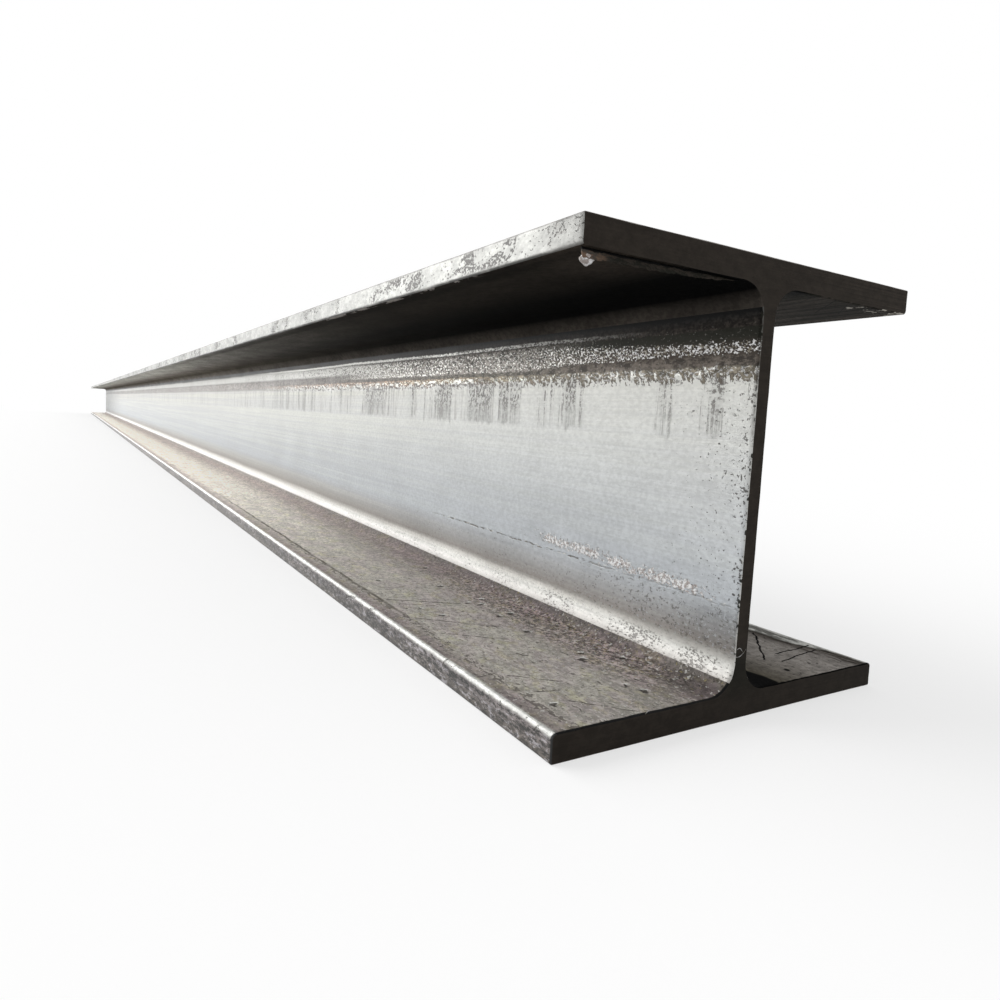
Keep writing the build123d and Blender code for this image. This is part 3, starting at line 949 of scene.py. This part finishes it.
def soffit_finish(size, marks):
    """The upper flange's under face and upper root: dull scale under painted shade, black by the cut, that gives way
    to painted light away from it.
    """
    skin = SkinFinish("soffit_scale", size, marks, roughness=0.7, metallic=0.0, specular=0.02)
    along, across = skin.along, skin.across
    # Painted shade by the cut gives way to painted light further along.
    colour = skin.mix(skin.rise(along, 0.15, 1.8), skin.ramp(across, DARK_SOFFIT), skin.ramp(across, PALE_SOFFIT))
    streak = skin.grain((0.10, 0.0030, 0.0030), 5, 0.7)
    # Right of the web by the cut, the painted shade is streaky, darkest in a wedge by the root and dimmer in a strip.
    right_tone = skin.mix(skin.rise(streak, 0.38, 0.62), SOOT_AND_SHADE, DIRT_AND_SHADE)
    wedge = skin.rise(skin.plus(across, skin.times(along, 0.20)), 0.022, 0.040)
    right_tone = skin.mix(wedge, SOOT_AND_SHADE, right_tone)
    dim_strip = skin.times(skin.band(across, 0.055, 0.082, 0.012), skin.rise(along, 0.020, 0.050, 0.35, 0.0))
    right_tone = skin.shade(right_tone, skin.off(dim_strip))
    colour = skin.mix(skin.times(skin.right, skin.rise(along, 0.5, 1.5, 1.0, 0.0)), colour, right_tone)
    patch = skin.grain((0.05, 0.02, 0.02), 3, shift=3.0)
    fine = skin.grain((0.004, 0.003, 0.003), 3, 0.7)
    tone = skin.times(skin.contrast(patch, 0.35, 0.65, 0.85, 1.20), skin.contrast(fine, 0.38, 0.62, 0.82, 1.18))
    colour = skin.shade(colour, tone)
    dim = skin.times(skin.rise(along, 0.020, 0.050), skin.rise(along, 0.28, 0.42, 1.0, 0.0), skin.left)
    colour = skin.shade(colour, skin.off(skin.times(dim, skin.rise(across, 0.018, 0.036), 0.42)))
    by_toe = skin.times(skin.band(across, 0.0900, 0.0972, 0.004), skin.rise(along, 0.6, 1.4, 0.35, 0.0), skin.left)
    colour = skin.shade(colour, skin.off(by_toe))
    level = skin.join(along, skin.y, 0.0)
    strokes = skin.times(scratches(skin, level, SOFFIT_STROKES), 0.75)
    shade_by_root = skin.band(skin.y, 0.0125, 0.0240, 0.003)
    shade_by_root = skin.times(shade_by_root, skin.rise(along, 0.004, 0.012, 1.0, 0.0))
    colour = skin.mix(skin.most(strokes, shade_by_root), colour, BLACK)
    uneven = skin.plus(across, skin.swing((0.02, 1.0, 1.0), 0.0006, at=skin.level))
    scraped = skin.band(uneven, 0.0978, 0.1010, 0.0008)
    scraped = skin.times(scraped, skin.rise(skin.grain((0.024, 0.01, 0.01), 4, 0.7, shift=8.0), 0.50, 0.58))
    colour = skin.mix(skin.times(scraped, skin.band(along, 0.08, 0.30, 0.02)), colour, DULL_SCALE)
    fleck_share = skin.times(skin.rise(along, 0.004, 0.016, 0.22, 0.0), skin.rise(across, 0.056, 0.064), skin.right)
    fleck = skin.specks((0.0050, 0.0050, 0.002), fleck_share, shift=6.0)
    colour = skin.mix(fleck, colour, PALE_BROWN)
    return skin.finish(colour, normal=skin.bump(skin.plus(streak, fine), 0.00015))


def outer_finish(size, marks):
    """The flanges' outer faces: brown-grey scale with rolling lines, small rust blooms and scuffs."""
    skin = SkinFinish("outer_scale", size, marks, roughness=0.65, metallic=0.0, specular=0.12)
    clouds = skin.grain((0.25, 0.050, 0.050), 4, 0.6, shift=2.0)
    lines = skin.grain((0.9, 0.0032, 0.003), 4, 0.65)
    fine = skin.grain((0.0034, 0.0028, 0.0028), 4, 0.8)
    colour = skin.mix(skin.rise(clouds, 0.34, 0.66), GREY_DIRT, DULL_SCALE)
    rust = skin.grain((0.030, 0.014, 0.014), 5, 0.75, shift=8.0)
    colour = skin.mix(skin.times(skin.rise(rust, 0.54, 0.66), 0.50), colour, RUST)
    scuff = skin.grain((0.05, 0.0022, 0.002), 3, 0.6, shift=5.0)
    scuffed = skin.times(skin.rise(scuff, 0.58, 0.66), skin.rise(clouds, 0.45, 0.55), 0.35)
    colour = skin.mix(scuffed, colour, SCALE)
    tone = skin.times(skin.contrast(lines, 0.36, 0.64, 0.90, 1.10), skin.contrast(fine, 0.40, 0.60, 0.82, 1.18))
    relief = skin.plus(skin.times(fine, 0.6), skin.times(lines, 0.4))
    return skin.finish(skin.shade(colour, tone), normal=skin.bump(relief, 0.0003))


def sawn_finish():
    """The cut: steel painted dark, as shade on a face turned from the light, with the saw's fine lines."""
    cut = Finish("sawn_steel", roughness=0.7, metallic=0.0, specular=0.08)
    lines = cut.grain((1.0, 0.05, 0.0009), 3, 0.6)
    broad = cut.grain((1.0, 0.03, 0.012), 2, shift=3.0)
    fine = cut.grain(0.0009, 2)
    high = cut.rise(cut.z, 0.182, 0.190)
    by_web = cut.rise(cut.math("ABSOLUTE", cut.y), 0.004, 0.022, 1.0, 0.0)
    stain = cut.times(cut.band(cut.z, 0.012, 0.030, 0.012), by_web)
    colour = cut.mix(cut.times(stain, 0.8), DARK_DIRT_AND_SHADE, SOOT_AND_SHADE)
    toe = cut.times(high, cut.rise(cut.y, 0.02, 0.08))
    line_depth = cut.math("MULTIPLY_ADD", toe, 1.4, 0.5)
    line_level = cut.math("MULTIPLY_ADD", toe, -0.62, 0.75)
    line_tone = cut.math("MULTIPLY_ADD", lines, line_depth, line_level)
    colour = cut.shade(colour, cut.times(line_tone, cut.math("MULTIPLY_ADD", broad, 0.3, 0.85)))
    lower = cut.rise(cut.z, 0.010, 0.016, 0.80, 1.0)
    mottle = cut.grain((1.0, 0.007, 0.0045), 4, 0.7, shift=7.0)
    colour = cut.shade(colour, cut.times(lower, cut.contrast(mottle, 0.36, 0.64, 0.84, 1.16)))
    return cut.finish(colour, normal=cut.bump(cut.plus(lines, cut.times(fine, 0.4)), 0.00008))


def burr_finish(name, light, dark):
    """Torn metal, light or dark from place to place."""
    skin = Finish(name, roughness=0.5, metallic=0.2)
    patch = skin.rise(skin.grain((0.004, 0.0035, 0.002), 3, 0.7), 0.40, 0.58)
    fine = skin.grain(0.0010, 2, shift=2.0)
    colour = skin.shade(skin.mix(patch, dark, light), skin.contrast(fine, 0.3, 0.7, 0.8, 1.15))
    return skin.finish(colour, normal=skin.bump(fine, 0.0002))


def sliver_finish():
    """Torn scale on the sliver: painted black shadow where it leaves the flange, dark brown below and rust-brown by
    the toe.
    """
    skin = Finish("burr_scale", roughness=0.7, metallic=0.0, specular=0.08)
    patch = skin.rise(skin.grain((0.006, 0.005, 0.002), 3, 0.7), 0.40, 0.58)
    brown = skin.mix(patch, SOOT_AND_SHADE, DARK_DIRT_AND_SHADE)
    pale = skin.mix(patch, DIRT_AND_SHADE, RUST)
    colour = skin.mix(skin.rise(skin.y, -0.0945, -0.0840, 1.0, 0.0), brown, pale)
    # The top of it, where it leaves the flange, is black: painted shadow, narrower across the flange.
    edge = skin.plus(skin.z, skin.swing((0.006, 0.006, 0.003), 0.0005, detail=3))
    black = skin.rise(edge, skin.rise(skin.y, -0.090, -0.030, 0.1868, 0.1873), 0.1877)
    colour = skin.mix(skin.rise(black, 0.1, 0.5), colour, BLACK)
    return skin.finish(colour, normal=skin.bump(patch, 0.0003))


def floor_finish():
    """A matt floor. The camera, and what mirrors it, sees it white, with the beam's soft shadow on it, and it fades
    into the white all round. The light that it throws back is a pale grey floor's."""
    floor = Finish("pale_floor", roughness=1.0, metallic=0.0, specular=0.0)
    path = floor.add("ShaderNodeLightPath").outputs
    seen_ray = floor.most(path["Is Camera Ray"], path["Is Glossy Ray"], path["Is Transmission Ray"])
    floor.finish(floor.mix(seen_ray, (0.45, 0.45, 0.45), (0.96, 0.96, 0.96)))
    past_end = floor.math("MAXIMUM", floor.math("SUBTRACT", floor.math("ABSOLUTE", floor.x), HIGH.x), 0.0)
    distance = floor.math("SQRT", floor.plus(floor.times(past_end, past_end), floor.times(floor.y, floor.y)))
    share = floor.times(floor.rise(distance, 0.2, 1.4, 0.6, 1.0), seen_ray)
    white = floor.add("ShaderNodeEmission")
    blend = floor.add("ShaderNodeMixShader")
    floor.put(blend.inputs["Fac"], share)
    floor.put(blend.inputs[1], floor.shader.outputs["BSDF"])
    floor.put(blend.inputs[2], white.outputs["Emission"])
    floor.put(floor.tree.nodes["Material Output"].inputs["Surface"], blend.outputs["Shader"])
    return floor.material


# Operators


def zone_numbers(around, marks, size):
    """Which finish each strip round the section takes: 0 outer face, 1 low toe, 2 ledge left of the web, 3 web,
    4 soffit, 5 high toe, 6 ledge right of the web. A strip's middle is folded from the right half to the left, and
    each zone ends where the outline's own part does, but for the web, which starts up the lower root and runs a
    little way up the upper one."""
    under_root, over_root = 0.0035, 0.0085
    middle = (around[:-1] + around[1:]) / 2
    on_right = middle > marks["top"]
    folded = np.where(on_right, 2 * marks["top"] - middle, middle)
    mid_web = marks["web"] + (size.depth / 2 - size.flange - size.root)
    ends = [
        0.0, marks["ledge"], marks["web"] - over_root, 2 * mid_web - marks["web"] + under_root,
        2 * mid_web - marks["toe"] - size.toe_inner * math.pi / 4, 2 * mid_web,
    ]
    zone = np.searchsorted(ends, folded)
    zone = np.where(zone > 5, 0, zone)
    return np.where((zone == 2) & on_right, 6, zone)


class BEAM_OT_rolled_beam(bpy.types.Operator):
    """Make the beam's rolled skin and its two sawn ends, as one closed piece"""

    bl_idname = "beam.rolled_beam"
    bl_label = "Rolled Beam"

    def execute(self, context):
        size = context.scene.beam_sizes
        points, x, around, marks = rolled_surface(size)
        stations, outline = points.shape[:2]
        quads = grid_faces(stations, outline, closed_round=True)
        first_end = np.arange(outline)
        last_end = (stations - 1) * outline + np.arange(outline)[::-1]
        faces = quads[:, ::-1].tolist() + [first_end.tolist(), last_end.tolist()]
        makers = (
            outer_finish, low_toe_finish, ledge_finish, web_finish, soffit_finish, high_toe_finish,
            right_ledge_finish)
        finishes = [maker(size, marks) for maker in makers] + [sawn_finish()]
        piece = piece_from("rolled_beam", points, faces, finishes)
        mesh = piece.data
        zones = np.tile(zone_numbers(around, marks, size), stations - 1)
        cut = len(finishes) - 1
        mesh.polygons.foreach_set("material_index", np.concatenate([zones, [cut, cut]]).astype(np.int32))
        smooth = np.ones(len(mesh.polygons), dtype=bool)
        smooth[-2:] = False
        mesh.polygons.foreach_set("use_smooth", smooth)
        column = np.tile(np.arange(outline), stations - 1)
        row = np.repeat(np.arange(stations - 1), outline)
        along = size.length / 2 - x
        corner = np.stack([
            np.stack([along[row + 1], around[column]], -1),
            np.stack([along[row + 1], around[column + 1]], -1),
            np.stack([along[row], around[column + 1]], -1),
            np.stack([along[row], around[column]], -1),
        ], axis=1)
        layer = mesh.uv_layers.new(name=SKIN_MAP)
        values = np.zeros((len(mesh.loops), 2), dtype=np.float32)
        values[: corner.shape[0] * 4] = corner.reshape(-1, 2)
        layer.uv.foreach_set("vector", values.ravel())
        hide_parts(NODE)
        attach(piece, BODY)
        return {"FINISHED"}


class BurrSizes(bpy.types.PropertyGroup):
    """The sliver, the bead and the threads of swarf that the saw left on the near end. Places are taken from the
    middle of the cut, at floor level."""

    sliver_from: FloatProperty(
        name="Sliver from", description="Where it starts, across the flange", default=-0.0990, unit="LENGTH")
    sliver_to: FloatProperty(
        name="Sliver to", description="Where it runs out", default=-0.0190, unit="LENGTH")
    sliver_drop: FloatProperty(
        name="Sliver drop", description="How far it hangs under the upper flange", default=0.0047, unit="LENGTH")
    sliver_thickness: FloatProperty(
        name="Sliver thickness", description="At its thickest", default=0.0007, unit="LENGTH")
    sliver_curl: FloatProperty(
        name="Sliver curl", description="How far its lip stands out from its root", default=0.0013, unit="LENGTH")
    bead_place: FloatVectorProperty(
        name="Bead place", description="Middle of the bead at the toe, back from the cut, across and up",
        default=(-0.0019, -0.0962, 0.1842), subtype="XYZ", unit="LENGTH")
    bead_reach: FloatVectorProperty(
        name="Bead reach", description="Half its size each way", default=(0.0018, 0.0029, 0.0023),
        subtype="XYZ", unit="LENGTH")
    swarf_radius: FloatProperty(
        name="Swarf radius", description="Of each thread of swarf", default=0.00016, unit="LENGTH")


def shut_rings(name, rings, material):
    """A piece from rings of points, each ring joined to the next, and the first and last ring filled."""
    stations, sides = rings.shape[:2]
    quads = grid_faces(stations, sides, closed_round=True)
    first = np.arange(sides)[::-1]
    last = (stations - 1) * sides + np.arange(sides)
    return piece_from(name, rings, quads.tolist() + [first.tolist(), last.tolist()], [material])


def sliver_rings(size, burr):
    """Rings along the sliver. A ring goes round a strip that hangs from the flange and curls forwards: its height
    falls by minus the cosine of the turn, its thickness follows the sine, and its middle comes forwards by a
    quarter of one minus the cosine of the way down, squared. It hangs less and less from the toe to where it runs
    out, with an uneven lower edge."""
    turn = np.linspace(0, 2 * math.pi, 14, endpoint=False)[None, :]
    way = np.linspace(0, 1, 150)[:, None]
    noise_length = 0.083
    line = np.column_stack([way * noise_length, 0 * way, 0 * way])
    uneven = wander(line, (0.009, 0.009, 0.009), seed=21)[:, None]
    ragged = wander(line, (0.0022, 0.0022, 0.0022), seed=22)[:, None]
    taper = np.interp(way, (0, 0.50, 0.82, 1), (1, 0.80, 0.52, 0.09))
    drop = burr.sliver_drop * taper * (0.76 + 0.20 * uneven + 0.12 * (ragged - 0.5))
    down = (1 - np.cos(turn)) / 2
    tucked = 0.0006
    x = size.length / 2 - burr.sliver_curl - burr.sliver_thickness / 2 + burr.sliver_curl * down**2
    x = x + burr.sliver_thickness / 2 * np.sin(turn) * np.minimum(1, taper * 1.2)
    y = burr.sliver_from + (burr.sliver_to - burr.sliver_from) * way + 0 * turn
    z = size.depth - size.flange + tucked - (drop + tucked) * down
    return np.stack([x, y, z], axis=-1)


def bead_rings(size, burr):
    """Rings over a bead: latitude and longitude on a ball, each point moved in or out by smooth unevenness."""
    near_pole = 1.52
    latitude = np.linspace(-near_pole, near_pole, 22)[:, None]
    longitude = np.linspace(0, 2 * math.pi, 32, endpoint=False)[None, :]
    ball = np.stack([
        np.cos(latitude) * np.cos(longitude), np.cos(latitude) * np.sin(longitude),
        np.sin(latitude) + 0 * longitude], axis=-1)
    swell = 0.78 + 0.30 * wander(ball, (1.1, 1.1, 1.1), seed=25)
    middle = np.array(burr.bead_place) + [size.length / 2, 0, 0]
    return middle + ball * np.array(burr.bead_reach) * swell[..., None]


def swarf_rings(size, burr, start, end, rise):
    """Rings along a thread of swarf on the cut's face: it goes from start to end, given across and up, and bows
    upwards by the rise on half a sine wave. The rings stand square to it and taper to both ends."""
    way = np.linspace(0, 1, 40)
    y = start[0] + (end[0] - start[0]) * way
    z = start[1] + (end[1] - start[1]) * way + rise * np.sin(math.pi * way)
    across, up = np.gradient(y), np.gradient(z)
    length = np.hypot(across, up)
    turn = np.linspace(2 * math.pi, 0, 8, endpoint=False)
    radius = (burr.swarf_radius * np.sqrt(np.clip(1 - (2 * way - 1) ** 4, 0.05, 1)))[:, None]
    forward, sideways = radius * np.cos(turn), radius * np.sin(turn)
    x = size.length / 2 + burr.swarf_radius * 0.4 + forward
    y = y[:, None] - sideways * (up / length)[:, None]
    z = z[:, None] + sideways * (across / length)[:, None]
    return np.stack([x, y, z], axis=-1)


# Threads of swarf on the near end: from, to, across and up, and how far each bows upwards.
SWARF = [
    ((-0.0046, 0.0290), (0.0028, 0.0314), -0.0016),
    ((-0.0030, 0.0318), (0.0008, 0.0302), 0.0012),
    ((-0.0545, 0.0118), (-0.0522, 0.0128), 0.0005),
]


class BEAM_OT_burrs(bpy.types.Operator):
    """Make the burrs of the near cut: a sliver under the upper flange, a bead at its toe and threads of swarf"""

    bl_idname = "beam.burrs"
    bl_label = "Burrs"

    def execute(self, context):
        size = context.scene.beam_sizes
        burr = context.scene.burr_sizes
        brown = sliver_finish()
        bright = burr_finish("fresh_burr", WHITE_STEEL, BROWN_SCALE)
        pieces = [
            shut_rings("burr_sliver", sliver_rings(size, burr), brown),
            shut_rings("burr_bead", bead_rings(size, burr), bright),
        ]
        dull = burr_finish("dull_swarf", SCALE, BROWN_DIRT)
        for number, (start, end, rise) in enumerate(SWARF, start=1):
            pieces.append(shut_rings(f"swarf_{number}", swarf_rings(size, burr, start, end, rise), dull))
        for piece in pieces:
            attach(piece, BODY)
        return {"FINISHED"}


class StudioSettings(bpy.types.PropertyGroup):
    """The camera, the light and the floor."""

    camera_place: FloatVectorProperty(
        name="Camera place", description="Where the lens stands",
        default=(3.20537, -0.25179, 0.12707), subtype="XYZ", unit="LENGTH")
    heading: FloatProperty(
        name="Heading", description="Which way the camera looks, from +Y towards -X",
        default=math.radians(58.181), subtype="ANGLE")
    pitch: FloatProperty(
        name="Pitch", description="How far the camera looks up", default=math.radians(-5.2525), subtype="ANGLE")
    roll: FloatProperty(
        name="Roll", description="How far the camera leans", default=math.radians(3.0318), subtype="ANGLE")
    focal: FloatProperty(
        name="Focal length", description="Of the lens, in millimetres, on a 36 mm wide picture", default=25.79)
    sky: FloatProperty(
        name="Sky strength", description="Light that surfaces get from all round", default=0.7)
    shift: FloatVectorProperty(
        name="Lens shift", description="How far the picture's middle lies off the lens, as a share of its width",
        default=(-0.0094, -0.0154), size=2)
    nearest: FloatProperty(
        name="Nearest", description="How close to the lens a surface may come", default=0.005, unit="LENGTH")
    floor_reach: FloatProperty(
        name="Floor reach", description="Half the floor's width each way", default=30.0, unit="LENGTH")
    key: FloatProperty(
        name="Key strength", description="Light of the one large soft lamp", default=2.5)
    key_spread: FloatProperty(
        name="Key spread", description="How wide the lamp looks from the beam",
        default=math.radians(60), subtype="ANGLE")
    key_from: FloatVectorProperty(
        name="Key direction", description="Where the lamp stands, as a direction from the beam",
        default=(-0.75, -0.5, 0.43), subtype="XYZ")


class BEAM_OT_studio(bpy.types.Operator):
    """Make the pale floor, the soft light and the camera"""

    bl_idname = "beam.studio"
    bl_label = "Studio"

    def execute(self, context):
        studio = context.scene.studio
        scene = context.scene
        lens = bpy.data.cameras.new("camera")
        lens.lens = studio.focal
        lens.sensor_width = 36
        lens.shift_x, lens.shift_y = studio.shift
        lens.clip_start = studio.nearest
        camera = bpy.data.objects.new("camera", lens)
        heading = Matrix.Rotation(studio.heading, 4, "Z")
        pitch = Matrix.Rotation(math.pi / 2 + studio.pitch, 4, "X")
        roll = Matrix.Rotation(studio.roll, 4, "Z")
        camera.matrix_world = Matrix.Translation(studio.camera_place) @ heading @ pitch @ roll
        scene.collection.objects.link(camera)
        scene.camera = camera

        world = bpy.data.worlds.new("soft_sky")
        scene.world = world
        world.use_nodes = True
        tree = world.node_tree
        background = tree.nodes["Background"]
        path = tree.nodes.new("ShaderNodeLightPath")
        either = tree.nodes.new("ShaderNodeMath")
        either.operation = "MAXIMUM"
        tree.links.new(path.outputs["Is Camera Ray"], either.inputs[0])
        tree.links.new(path.outputs["Is Glossy Ray"], either.inputs[1])
        strength = tree.nodes.new("ShaderNodeMapRange")
        tree.links.new(either.outputs["Value"], strength.inputs["Value"])
        strength.inputs["To Min"].default_value = studio.sky
        strength.inputs["To Max"].default_value = 1.0
        tree.links.new(strength.outputs["Result"], background.inputs["Strength"])
        background.inputs["Color"].default_value = (1, 1, 1, 1)

        half = studio.floor_reach
        mesh = bpy.data.meshes.new("floor")
        mesh.from_pydata([(-half, -half, 0), (half, -half, 0), (half, half, 0), (-half, half, 0)], [], [(0, 1, 2, 3)])
        floor = bpy.data.objects.new("floor", mesh)
        scene.collection.objects.link(floor)
        mesh.materials.append(floor_finish())

        key = bpy.data.lights.new("key_lamp", "SUN")
        key.energy = studio.key
        key.angle = studio.key_spread
        lamp = bpy.data.objects.new("key_lamp", key)
        lamp.matrix_world = Vector(studio.key_from).to_track_quat("Z", "Y").to_matrix().to_4x4()
        scene.collection.objects.link(lamp)

        scene.view_settings.view_transform = "Standard"
        return {"FINISHED"}


class BEAM_PT_panel(bpy.types.Panel):
    """The buttons that make each piece"""

    bl_idname = "BEAM_PT_panel"
    bl_label = "Rolled Steel Beam"
    bl_space_type = "VIEW_3D"
    bl_region_type = "UI"
    bl_category = "Beam"

    def draw(self, context):
        for step in STEPS:
            self.layout.operator(step.bl_idname)


STEPS = (BEAM_OT_rolled_beam, BEAM_OT_burrs, BEAM_OT_studio)
CLASSES = (BeamSizes, BurrSizes, StudioSettings, *STEPS, BEAM_PT_panel)


def register():
    for kind in CLASSES:
        bpy.utils.register_class(kind)
    bpy.types.Scene.beam_sizes = PointerProperty(type=BeamSizes)
    bpy.types.Scene.burr_sizes = PointerProperty(type=BurrSizes)
    bpy.types.Scene.studio = PointerProperty(type=StudioSettings)


def unregister():
    del bpy.types.Scene.studio
    del bpy.types.Scene.burr_sizes
    del bpy.types.Scene.beam_sizes
    for kind in reversed(CLASSES):
        bpy.utils.unregister_class(kind)


def main():
    register()
    bpy.ops.beam.rolled_beam()
    bpy.ops.beam.burrs()
    bpy.ops.beam.studio()


if __name__ == "__main__":
    main()
